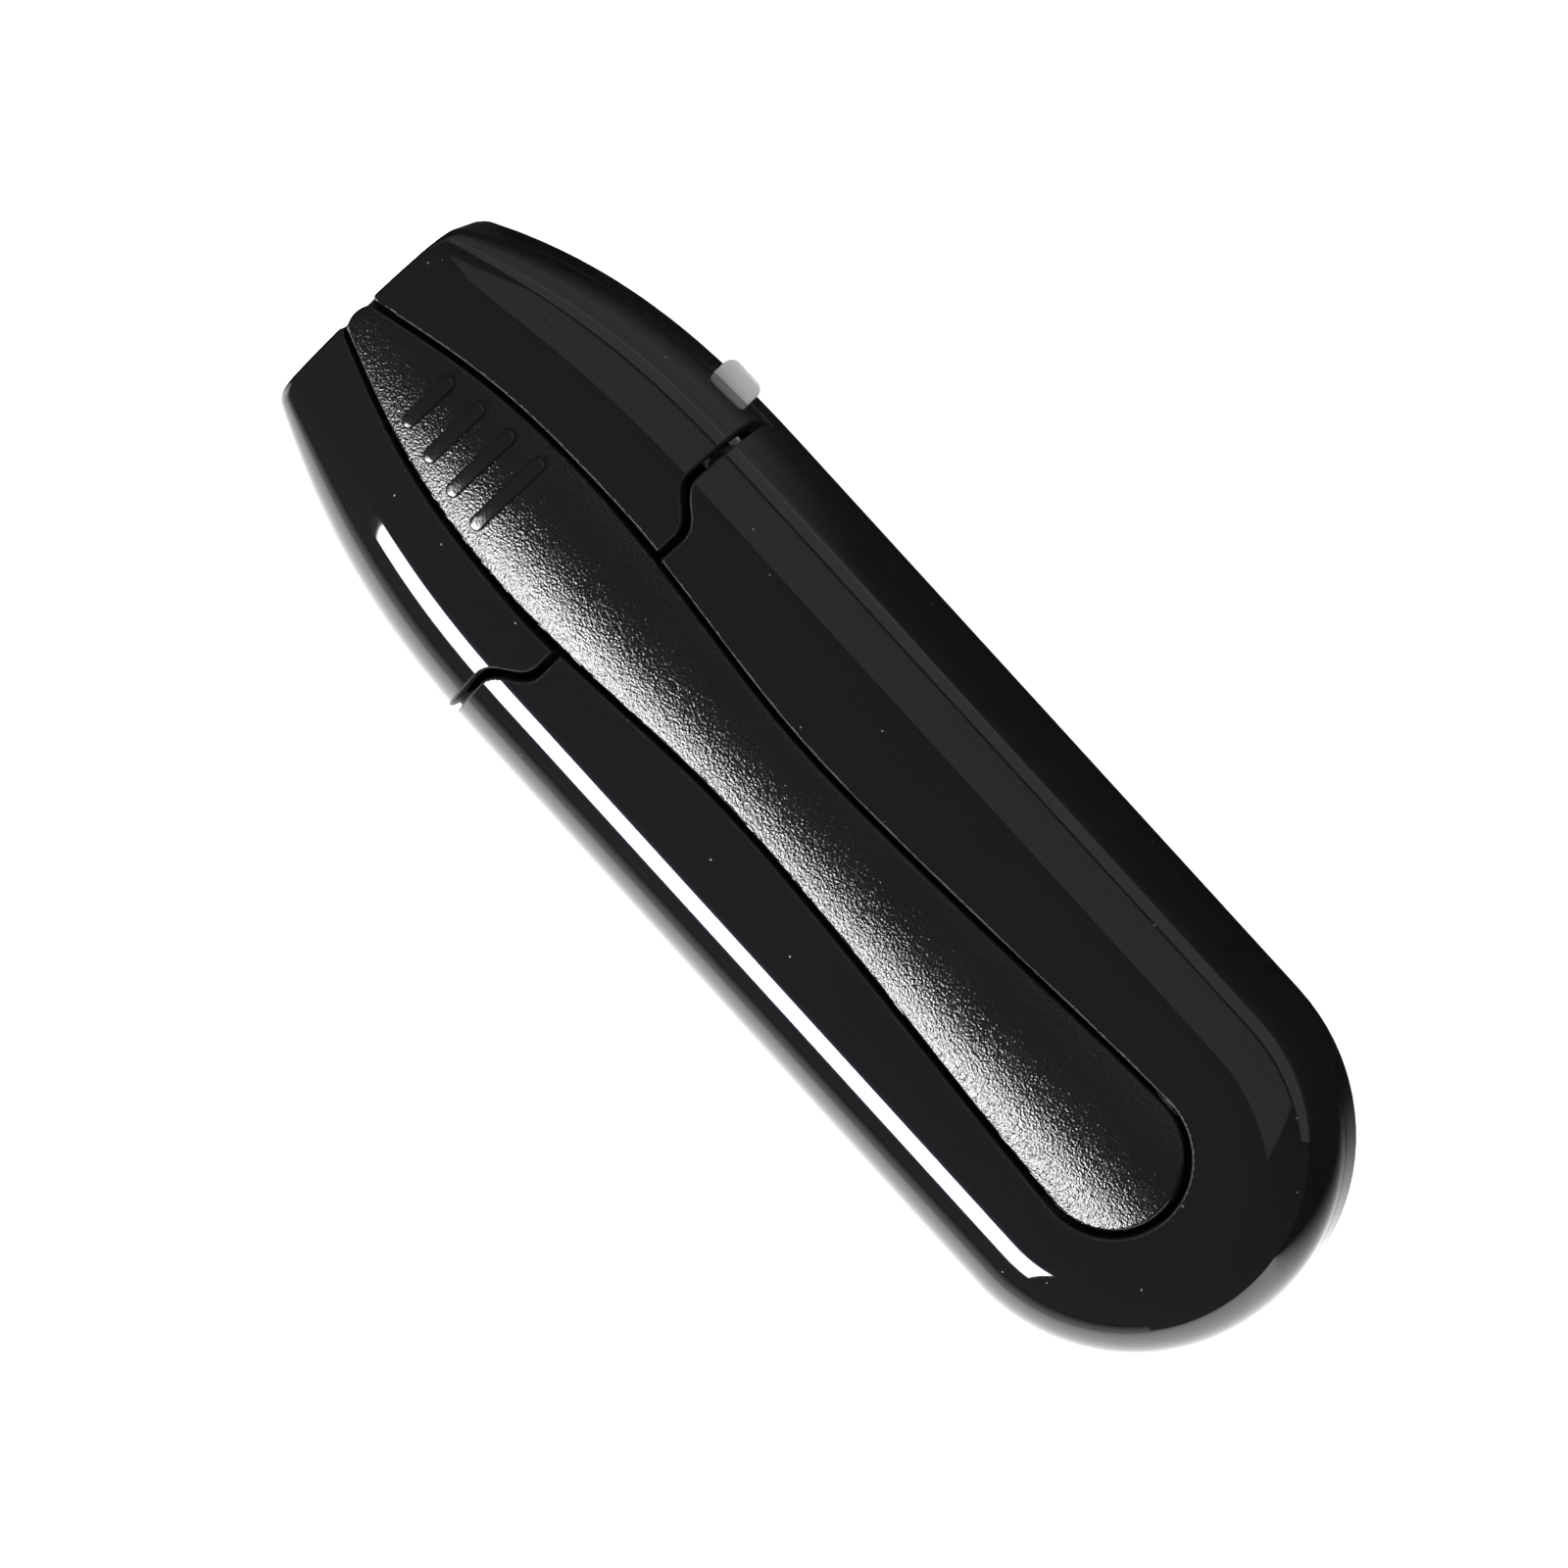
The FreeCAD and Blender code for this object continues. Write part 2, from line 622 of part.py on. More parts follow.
def slider_screw(x):
    head = post(x, SLOT_Y, (GUIDE_WASHER_Z[1], GUIDE_SCREW_TOP_Z), SCREW_HEAD_RADIUS)
    shank = post(x, SLOT_Y, (SCREW_ROOT_Z, GUIDE_WASHER_Z[1]), SCREW_RADIUS)
    socket_z = (GUIDE_SCREW_TOP_Z - DRIVE_DEPTH / 2, GUIDE_SCREW_TOP_Z + BEYOND)
    socket = post(x, SLOT_Y, socket_z, DRIVE_RADIUS)
    return joined([head, shank]).cut(socket)


def slider_screws():
    return Part.makeCompound([slider_screw(x) for x in SLOT_START_X])


def slider_washers():
    """Wave washers that give the slider its drag."""
    rings = []
    for x in SLOT_START_X:
        disc = post(x, SLOT_Y, GUIDE_WASHER_Z, SCREW_HEAD_RADIUS - RUNNING_CLEARANCE)
        rings.append(disc.cut(post(x, SLOT_Y, (0, CROWN_Z), SCREW_RADIUS)))
    return Part.makeCompound(rings)


# ---- casing parts ----------------------------------------------------------

def base_tray():
    """Lower shell with its bosses and posts, the side notch and the open mouth."""
    outside = lower_outside()
    shell = outside.cut(lower_inside())
    posts = [post(x, y, (0, PARTING_Z), COVER_BOSS_RADIUS) for x, y in COVER_SCREW_PLACES]
    posts += [post(JAW_FOOT_X, s * JAW_FOOT_Y, (WALL / 2, UPPER_JAW_Z[0]), JAW_POST_RADIUS)
              for s in (1, -1)]
    posts += [post(TAIL_X, s * BRACKET_SCREW_Y, (WALL / 2, BRACKET_BASE_Z), BRACKET_POST_RADIUS)
              for s in (1, -1)]
    posts += [post(x, SLOT_Y, (WALL / 2, SLIDER_Z[0] - RUNNING_CLEARANCE), GUIDE_BOSS_RADIUS)
              for x in SLOT_START_X]
    posts.append(post(SPRING_X, 0, (WALL / 2, WALL + SPRING_POST_HEIGHT), SPRING_POST_RADIUS))
    whole = joined([shell] + posts)
    sink = SCREW_HEAD_RADIUS + RUNNING_CLEARANCE
    cuts = [post(x, y, (-BEYOND, COVER_SCREW_SEAT_Z), sink) for x, y in COVER_SCREW_PLACES]
    cuts += [cover_screws(), bracket_screws(), jaw_screws(), slider_screws()]
    cuts.append(box(NOTCH_X, (-HALF_WIDTH - BEYOND, SLIDER_OUTER_Y), (NOTCH_BOTTOM_Z, CROWN_Z)))
    mouth = (-MOUTH_HALF_WIDTH, MOUTH_HALF_WIDTH)
    cuts.append(box((FRONT_X - 2 * FRONT_WALL, FRONT_X + BEYOND), mouth, (WALL, CROWN_Z)))
    return softened(whole.cut(cuts), outside)


def channel_wall():
    """Wall and floor of the lever's channel, before the channel is cut."""
    return lever_prism(LEVER_CLEARANCE + CHANNEL_WALL, (FLOOR_BOTTOM_Z, CROWN_Z + BEYOND), BEYOND, True)


def channel_cut(parallel):
    return lever_prism(LEVER_CLEARANCE, (FLOOR_TOP_Z, CROWN_Z + BEYOND), BEYOND, parallel)


def upper_shell():
    outside = upper_outside()
    shell = outside.cut(upper_inside())
    return outside, joined([shell, channel_wall().common(outside)])


def rear_cover(outside, shell):
    """Fixed cover with its screw bosses, the pin passage and the press foot's window."""
    bottom = PARTING_Z + PARTING_GAP
    bosses = [post(x, y, (bottom, CROWN_Z), COVER_BOSS_RADIUS).common(outside)
              for x, y in COVER_SCREW_PLACES]
    whole = joined([shell] + bosses).common(cover_region())
    window = (-WINDOW_HALF_WIDTH, WINDOW_HALF_WIDTH)
    ear = (BRACKET_Y[0] - EAR_RELIEF, BRACKET_Y[1] + 2 * CLIP_THICKNESS)
    relief = BRACKET_EAR_HALF_LENGTH + EAR_RELIEF
    relief_x = (TAIL_X - relief, TAIL_X + relief)
    cuts = [channel_cut(False), box(WINDOW_X, window, (0, FLOOR_TOP_Z + PARTING_GAP)), cover_screws()]
    cuts.append(cross_shaft(TAIL_X, HINGE_Z, PIN_PASSAGE_RADIUS, (-BRACKET_Y[0], BRACKET_Y[0])))
    cuts += both_sides(box(relief_x, ear, (0, BRACKET_TOP_Z + EAR_RELIEF)))
    return softened(whole.cut(cuts), outside)


def front_hood(outside, shell):
    """Sliding hood with rails and lips that grip the upper jaw's edges."""
    rail = box(RAIL_X, RAIL_Y, (RAIL_BOTTOM_Z, CROWN_Z))
    lip = box((RAIL_X[0], LIP_FRONT_X), (LIP_INNER_Y, RAIL_Y[1]), (RAIL_BOTTOM_Z, LIP_TOP_Z))
    guides = [g.common(outside) for part in (rail, lip) for g in both_sides(part)]
    whole = joined([shell] + guides).common(hood_region())
    mouth = (-MOUTH_HALF_WIDTH, MOUTH_HALF_WIDTH)
    front = box((FRONT_X - 2 * FRONT_WALL, FRONT_X + BEYOND), mouth, (0, FLOOR_BOTTOM_Z))
    return softened(whole.cut([channel_cut(True), front]), outside)


# ---- hinge -----------------------------------------------------------------

def lever_pin():
    half = BRACKET_Y[1] + CLIP_THICKNESS
    return cross_shaft(TAIL_X, HINGE_Z, HINGE_PIN_RADIUS, (-half, half))


def ring(x, z, y, outer, inner):
    return cross_shaft(x, z, outer, y).cut(cross_shaft(x, z, inner, (y[0] - 1, y[1] + 1)))


def pin_clips():
    y = (BRACKET_Y[1], BRACKET_Y[1] + CLIP_THICKNESS)
    return Part.makeCompound(both_sides(ring(TAIL_X, HINGE_Z, y, CLIP_RADIUS, HINGE_PIN_RADIUS)))


def hinge_washers():
    bore = HINGE_PIN_RADIUS + RUNNING_CLEARANCE
    return Part.makeCompound(both_sides(ring(TAIL_X, HINGE_Z, HINGE_WASHER_Y, HINGE_WASHER_RADIUS, bore)))


def hinge_bracket():
    """U-shaped steel bracket: a base plate and two ears."""
    base_x = (TAIL_X - BRACKET_BASE_HALF_LENGTH, TAIL_X + BRACKET_BASE_HALF_LENGTH)
    base_z = (BRACKET_BASE_Z, BRACKET_BASE_Z + BRACKET_THICKNESS)
    base = box(base_x, (-BRACKET_Y[1], BRACKET_Y[1]), base_z)
    ear_x = (TAIL_X - BRACKET_EAR_HALF_LENGTH, TAIL_X + BRACKET_EAR_HALF_LENGTH)
    ear = box(ear_x, BRACKET_Y, (BRACKET_BASE_Z, BRACKET_TOP_Z))
    top_edges = [e for e in ear.Edges if e.BoundBox.ZMin > BRACKET_TOP_Z - PARTING_GAP]
    ear = ear.makeFillet(BRACKET_THICKNESS, [e for e in top_edges if e.BoundBox.XLength < PARTING_GAP])
    whole = joined([base] + both_sides(ear))
    return whole.cut([lever_pin(), bracket_screws()])


# ---- jaws ------------------------------------------------------------------

def upper_jaw():
    """Fixed jaw: a plate with a turned-down cutting edge, ears for the jaw pin and two feet."""
    z = UPPER_JAW_Z
    outline = [(UPPER_JAW_REAR_X, JAW_FOOT_HALF_WIDTH), (JAW_FOOT_FRONT_X, JAW_FOOT_HALF_WIDTH),
               (JAW_WAIST_X, UPPER_JAW_HALF_WIDTH), (JAW_TIP_X, UPPER_JAW_HALF_WIDTH)]
    outline += [(x, -y) for x, y in reversed(outline)]
    body = plate(outline, z)
    base_x = JAW_TIP_X - EDGE_LENGTH
    nose = side_profile([(base_x, z[1]), (JAW_TIP_X, z[1]), (JAW_TIP_X, UPPER_EDGE_Z),
                         (JAW_TIP_X - EDGE_BEVEL, UPPER_EDGE_Z), (base_x, z[0])], LOWER_JAW_HALF_WIDTH)
    ear_x = (JAW_PIN_X - JAW_EAR_HALF_LENGTH, JAW_PIN_X + JAW_EAR_HALF_LENGTH)
    ear = box(ear_x, JAW_EAR_Y, (JAW_EAR_BOTTOM_Z, z[1]))
    stop_y = (UPPER_JAW_HALF_WIDTH - STOP_WIDTH, UPPER_JAW_HALF_WIDTH)
    stop = box(STOP_X, stop_y, (z[0] - STOP_DEPTH, z[0]))
    whole = joined([body, nose] + both_sides(ear) + both_sides(stop))
    return whole.cut([jaw_pin(), jaw_screws()])


def lower_jaw():
    """Rocking jaw: cutting edge ahead of the pin, long arm behind it and a lug for the lock."""
    base_x = JAW_TIP_X - EDGE_LENGTH
    arm = box((ARM_REAR_X, ARM_BEND_X[0]), (-ARM_HALF_WIDTH, ARM_HALF_WIDTH), ARM_Z)
    bend = side_profile([(ARM_BEND_X[0], ARM_Z[0]), (ARM_BEND_X[1], LOWER_PLATE_Z[0]),
                         (JAW_PIN_X, LOWER_PLATE_Z[0]), (JAW_PIN_X, LOWER_PLATE_Z[1]),
                         (ARM_BEND_X[1], LOWER_PLATE_Z[1]), (ARM_BEND_X[0], ARM_Z[1])], ARM_HALF_WIDTH)
    neck = box((JAW_PIN_X, LOWER_JAW_WIDE_X), (-BARREL_HALF_LENGTH, BARREL_HALF_LENGTH), LOWER_PLATE_Z)
    wide = (-LOWER_JAW_HALF_WIDTH, LOWER_JAW_HALF_WIDTH)
    front = box((LOWER_JAW_WIDE_X, base_x), wide, LOWER_PLATE_Z)
    edge = side_profile([(base_x, LOWER_PLATE_Z[0]), (JAW_TIP_X, LOWER_PLATE_Z[0]),
                         (JAW_TIP_X, LOWER_EDGE_Z), (JAW_TIP_X - EDGE_BEVEL, LOWER_EDGE_Z),
                         (base_x, LOWER_PLATE_Z[1])], LOWER_JAW_HALF_WIDTH)
    barrel = cross_shaft(JAW_PIN_X, JAW_PIN_Z, BARREL_RADIUS, (-BARREL_HALF_LENGTH, BARREL_HALF_LENGTH))
    lug = box(LUG_X, (LUG_END_Y, 0), ARM_Z)
    bore = cross_shaft(JAW_PIN_X, JAW_PIN_Z, JAW_PIN_RADIUS + RUNNING_CLEARANCE, (-HALF_WIDTH, HALF_WIDTH))
    return joined([arm, bend, neck, front, edge, barrel, lug]).cut(bore)


def jaw_pin():
    """Headed pin through both jaws."""
    half = JAW_EAR_Y[1]
    shank = cross_shaft(JAW_PIN_X, JAW_PIN_Z, JAW_PIN_RADIUS, (-half, half))
    head = cross_shaft(JAW_PIN_X, JAW_PIN_Z, JAW_PIN_HEAD_RADIUS, (half, half + JAW_PIN_HEAD))
    return joined([shank] + both_sides(head))


def jaw_washers():
    washer = ring(JAW_PIN_X, JAW_PIN_Z, JAW_WASHER_Y, BARREL_RADIUS, JAW_PIN_RADIUS)
    return Part.makeCompound(both_sides(washer))


def return_spring():
    """Flat-wire compression coil, shown squeezed between the tray floor and the rocker arm."""
    width, thickness = SPRING_WIRE
    low = WALL + thickness / 2 + SPRING_MARGIN
    high = ARM_Z[0] - thickness / 2 - SPRING_MARGIN
    height = high - low
    helix = Part.makeHelix(height / SPRING_TURNS, height, SPRING_RADIUS)
    corners = [V(SPRING_RADIUS + side * width / 2, 0, lift * thickness / 2)
               for side, lift in ((-1, -1), (1, -1), (1, 1), (-1, 1), (-1, -1))]
    coil = Part.Wire(helix).makePipeShell([Part.makePolygon(corners)], True, True)
    coil.translate(V(SPRING_X, 0, low))
    return coil


# ---- lock ------------------------------------------------------------------

def lock_slider():
    """Stamped steel strip with a thumb tab outside and a finger over the rocker's lug."""
    narrow = box(SLIDER_END_X, (SLIDER_OUTER_Y, SLIDER_NARROW_Y), SLIDER_Z)
    wide = [box(span, (SLIDER_OUTER_Y, SLIDER_WIDE_Y), SLIDER_Z) for span in SLIDER_WIDE_SPANS]
    tab = box(TAB_X, (TAB_END_Y, SLIDER_NARROW_Y), SLIDER_Z)
    upright = [e for e in tab.Edges if e.BoundBox.ZLength > RUNNING_CLEARANCE]
    tab = tab.makeFillet(TAB_CORNER, [e for e in upright if e.BoundBox.YMax < SLIDER_OUTER_Y])
    finger = box(FINGER_X, (SLIDER_WIDE_Y, FINGER_END_Y), (SLIDER_Z[0], SLIDER_Z[0] + FINGER_THICKNESS))
    slots = []
    for x in SLOT_START_X:
        ends = (x, x + SLIDER_TRAVEL)
        slots += [post(end, SLOT_Y, (0, CROWN_Z), SLOT_HALF_WIDTH) for end in ends]
        slots.append(box(ends, (SLOT_Y - SLOT_HALF_WIDTH, SLOT_Y + SLOT_HALF_WIDTH), (0, CROWN_Z)))
    return joined([narrow, tab, finger] + wide).cut(slots)


def main():
    os.makedirs("parts", exist_ok=True)
    outside, shell = upper_shell()
    nodes = {
        "base_tray": base_tray(),
        "rear_cover": rear_cover(outside, shell),
        "front_hood": front_hood(outside, shell),
        "lever_cover": lever_cover(),
        "lever_frame": lever_frame(),
        "lever_rivets": lever_rivets(),
        "press_pad": press_pad(),
        "lever_pin": lever_pin(),
        "pin_clips": pin_clips(),
        "hinge_washers": hinge_washers(),
        "hinge_bracket": hinge_bracket(),
        "bracket_screws": bracket_screws(),
        "upper_jaw": upper_jaw(),
        "jaw_screws": jaw_screws(),
        "lower_jaw": lower_jaw(),
        "jaw_pin": jaw_pin(),
        "jaw_washers": jaw_washers(),
        "return_spring": return_spring(),
        "lock_slider": lock_slider(),
        "slider_screws": slider_screws(),
        "slider_washers": slider_washers(),
        "cover_screws": cover_screws(),
    }
    for name, shape in nodes.items():
        print(name, len(shape.Solids), shape.isValid(), round(shape.Volume, 2))
        shape.exportStep(os.path.join("parts", name + ".step"))


main()
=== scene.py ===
import json
import math

import bmesh
import bpy
from mathutils import Matrix, Vector

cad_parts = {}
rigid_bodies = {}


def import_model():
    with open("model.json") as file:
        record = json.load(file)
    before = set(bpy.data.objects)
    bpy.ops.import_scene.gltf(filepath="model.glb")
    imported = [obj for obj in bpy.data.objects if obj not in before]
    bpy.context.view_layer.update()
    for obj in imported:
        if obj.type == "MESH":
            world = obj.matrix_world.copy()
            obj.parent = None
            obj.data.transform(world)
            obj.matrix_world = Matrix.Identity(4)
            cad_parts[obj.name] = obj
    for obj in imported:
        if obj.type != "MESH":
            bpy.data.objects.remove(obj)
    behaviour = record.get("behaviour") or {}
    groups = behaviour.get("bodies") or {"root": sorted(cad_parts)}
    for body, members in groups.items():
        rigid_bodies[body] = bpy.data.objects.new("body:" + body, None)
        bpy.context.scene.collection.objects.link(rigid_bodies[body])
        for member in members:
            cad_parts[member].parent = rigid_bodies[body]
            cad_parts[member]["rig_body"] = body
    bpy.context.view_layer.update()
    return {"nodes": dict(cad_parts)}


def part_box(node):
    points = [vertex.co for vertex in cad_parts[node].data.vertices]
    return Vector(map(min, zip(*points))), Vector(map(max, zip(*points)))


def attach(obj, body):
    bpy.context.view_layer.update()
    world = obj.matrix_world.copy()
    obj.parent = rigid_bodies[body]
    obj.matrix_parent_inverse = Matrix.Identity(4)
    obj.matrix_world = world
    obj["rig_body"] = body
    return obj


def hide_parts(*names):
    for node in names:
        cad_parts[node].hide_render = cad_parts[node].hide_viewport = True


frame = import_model()
MM = 0.001

# Which finish each node is made in. Nodes of one finish share one material.
FINISH_OF_NODE = {
    "base_tray": "shell_gloss", "rear_cover": "shell_gloss", "front_hood": "shell_gloss",
    "lever_cover": "lever_grain",
    "upper_jaw": "jaw_steel", "lower_jaw": "jaw_steel",
    "lever_frame": "satin_steel", "hinge_bracket": "satin_steel", "lock_slider": "satin_steel",
    "lever_pin": "screw_steel", "jaw_pin": "screw_steel", "lever_rivets": "screw_steel",
    "bracket_screws": "screw_steel", "jaw_screws": "screw_steel", "slider_screws": "screw_steel",
    "cover_screws": "screw_steel",
    "pin_clips": "spring_steel", "return_spring": "spring_steel", "slider_washers": "spring_steel",
    "press_pad": "nylon", "hinge_washers": "nylon", "jaw_washers": "nylon",
}


# ---- shader maths ------------------------------------------------------------

# Sockets of the colour mixing node.
MIX_FACTOR = 0
MIX_FIRST = 6
MIX_SECOND = 7
MIX_RESULT = 2


class Value:
    """A number socket of a shader, on which sums can be written."""

    def __init__(self, mixer, socket):
        self.mixer = mixer
        self.socket = socket

    def maths(self, operation, first, second=0.0):
        return self.mixer.node("ShaderNodeMath", {"operation": operation}, {0: first, 1: second})

    def __add__(self, other):
        return self.maths("ADD", self, other)

    def __sub__(self, other):
        return self.maths("SUBTRACT", self, other)

    def __rsub__(self, other):
        return self.maths("SUBTRACT", other, self)

    def __mul__(self, other):
        return self.maths("MULTIPLY", self, other)

    def __lt__(self, other):
        return self.maths("LESS_THAN", self, other)

    __radd__ = __add__
    __rmul__ = __mul__


class Mixer:
    """One material being mixed: its shader, and the nodes that feed it."""

    def __init__(self, name, metallic=0.0):
        self.material = bpy.data.materials.new(name)
        self.material.use_nodes = True
        self.tree = self.material.node_tree
        self.shader = self.tree.nodes["Principled BSDF"]
        self.shader.inputs["Metallic"].default_value = metallic
        self.place = self.node("ShaderNodeTexCoord", {}, {}, "Object")

    def node(self, kind, settings, values, output=0):
        """Adds a node, makes its settings, then gives its sockets their values or links."""
        made = self.tree.nodes.new(kind)
        for name, setting in settings.items():
            setattr(made, name, setting)
        for name, value in values.items():
            self.join(made.inputs[name], value)
        return Value(self, made.outputs[output])

    def join(self, socket, value):
        if isinstance(value, Value):
            self.tree.links.new(value.socket, socket)
        else:
            socket.default_value = value

    def feed(self, name, value):
        self.join(self.shader.inputs[name], value)

    def stretched(self, scale):
        """The piece's own coordinates in metres, scaled by a number for each axis."""
        return self.node("ShaderNodeMapping", {}, {"Vector": self.place, "Scale": scale})

    def noise(self, scale, detail=2.0, vector=None):
        values = {"Vector": vector or self.place, "Scale": scale, "Detail": detail}
        return self.node("ShaderNodeTexNoise", {}, values)

    def cells(self, scale):
        """Distance to the nearest of many scattered points, in cells."""
        return self.node("ShaderNodeTexVoronoi", {}, {"Vector": self.place, "Scale": scale})

    def blend(self, mask, first, second):
        """Colour that goes from first to second with the mask."""
        values = {MIX_FACTOR: mask, MIX_FIRST: first, MIX_SECOND: second}
        return self.node("ShaderNodeMix", {"data_type": "RGBA"}, values, MIX_RESULT)

    def faded(self, value, start, end):
        """Goes from 0 at start to 1 at end, and stays there."""
        values = {"Value": value, "From Min": start, "From Max": end}
        return self.node("ShaderNodeMapRange", {"interpolation_type": "SMOOTHSTEP"}, values)

    def mark(self, name):
        """A number stored on the piece's faces."""
        return self.node("ShaderNodeAttribute", {"attribute_name": name}, {}, "Fac")

    def axis(self, letter):
        """One of the piece's own coordinates, in metres."""
        return self.node("ShaderNodeSeparateXYZ", {}, {0: self.place}, letter)

    def bump(self, height, depth):
        """Relief of a depth in metres."""
        values = {"Height": height, "Distance": depth, "Strength": 1.0}
        self.feed("Normal", self.node("ShaderNodeBump", {}, values))


def grey(level, blueness=0.0):
    return (level, level, level * (1 + blueness), 1)


# ---- finishes ----------------------------------------------------------------
# Texture scales are in features per metre, and depths in metres.

RIM = "rim"
SHELL_TONES = (grey(0.0040, 0.05), grey(0.0056, 0.08))
SHELL_TONE_SCALE = 55
SHELL_ROUGHNESS = 0.02
SHELL_HAZE = 0.02
SHELL_HAZE_SCALE = 90
SHELL_RIPPLE_SCALE = 240
SHELL_RIPPLE_DEPTH = 0.4e-6
RIM_ROUGHNESS = 0.55
DUST_SCALE = 430
DUST_SPECK = 0.034
DUST_COVER = 0.6
DUST_TONE = grey(0.13)
DUST_ROUGHNESS = 0.4

LEVER_TONES = (grey(0.0035, 0.03), grey(0.0055, 0.03))
LEVER_WEAR_SCALE = 140
LEVER_WEAR_ROUGHNESS = 0.06
LEVER_ROUGHNESS = 0.11
GRAIN_SCALE = 5200
GRAIN_PITS = 0.4
GRAIN_DEPTH = 0.044e-3
GRAIN_LOST_ON_RIM = 0.85

BRUSH_ROUGHNESS = 0.16
BRUSH_DEPTH = 0.002e-3

NYLON_TONES = ((0.74, 0.72, 0.64, 1), (0.84, 0.82, 0.76, 1))
NYLON_CLOUD_SCALE = 500
NYLON_CLOUD_ROUGHNESS = 0.12
NYLON_ROUGHNESS = 0.40
NYLON_DEPTH = 0.004e-3


def shell_gloss():
    """Polished black moulding with a little dust on it, duller at its rims and inside."""
    mixer = Mixer("shell_gloss")
    dust = mixer.cells(DUST_SCALE) < DUST_SPECK
    tone = mixer.blend(mixer.noise(SHELL_TONE_SCALE), *SHELL_TONES)
    haze = mixer.noise(SHELL_HAZE_SCALE, detail=3.0) * SHELL_HAZE + SHELL_ROUGHNESS
    dull = dust * DUST_ROUGHNESS + mixer.mark(RIM) * RIM_ROUGHNESS
    mixer.feed("Base Color", mixer.blend(dust * DUST_COVER, tone, DUST_TONE))
    mixer.feed("Roughness", haze + dull)
    mixer.bump(mixer.noise(SHELL_RIPPLE_SCALE, detail=1.0), SHELL_RIPPLE_DEPTH)
    return mixer.material


def lever_grain():
    """Black moulding with a fine spark-eroded grain, smoother on its ribs and rim."""
    mixer = Mixer("lever_grain")
    pits = mixer.cells(GRAIN_SCALE) * GRAIN_PITS
    grain = (mixer.noise(GRAIN_SCALE) + pits) * (1 - mixer.mark(RIM) * GRAIN_LOST_ON_RIM)
    worn = mixer.noise(LEVER_WEAR_SCALE, detail=3.0)
    mixer.feed("Base Color", mixer.blend(worn, *LEVER_TONES))
    mixer.feed("Roughness", worn * LEVER_WEAR_ROUGHNESS + LEVER_ROUGHNESS)
    mixer.bump(grain, GRAIN_DEPTH)
    return mixer.material


def brushed(name, dark, pale, roughness, metallic, line_scale):
    """Metal with fine brush lines, which run along the axis of the smallest scale."""
    mixer = Mixer(name, metallic)
    lines = mixer.noise(1.0, detail=4.0, vector=mixer.stretched(line_scale))
    mixer.feed("Base Color", mixer.blend(lines, grey(*dark), grey(*pale)))
    mixer.feed("Roughness", lines * BRUSH_ROUGHNESS + roughness)
    mixer.bump(lines, BRUSH_DEPTH)
    return mixer.material


def nylon():
    """Natural nylon, slightly cloudy."""
    mixer = Mixer("nylon")
    cloud = mixer.noise(NYLON_CLOUD_SCALE, detail=3.0)
    mixer.feed("Base Color", mixer.blend(cloud, *NYLON_TONES))
    mixer.feed("Roughness", cloud * NYLON_CLOUD_ROUGHNESS + NYLON_ROUGHNESS)
    mixer.bump(cloud, NYLON_DEPTH)
    return mixer.material


# Each steel: darkest and palest level with its blueness, roughness, metallic, brush line scale.
STEELS = {
    "jaw_steel": ((0.50, 0.02), (0.68, 0.01), 0.16, 1.0, (9000, 260, 9000)),
    "satin_steel": ((0.74, -0.02), (0.88, -0.01), 0.26, 0.35, (400, 7000, 7000)),
    "screw_steel": ((0.42, 0.02), (0.60, 0.0), 0.18, 1.0, (3000, 3000, 3000)),
    "spring_steel": ((0.34, 0.02), (0.48, 0.0), 0.24, 1.0, (2500, 2500, 5000)),
}
FINISHES = {"shell_gloss": shell_gloss(), "lever_grain": lever_grain(), "nylon": nylon()}
for steel, look in STEELS.items():
    FINISHES[steel] = brushed(steel, *look)


# ---- the casing's moulded skin, in millimetres -----------------------------------

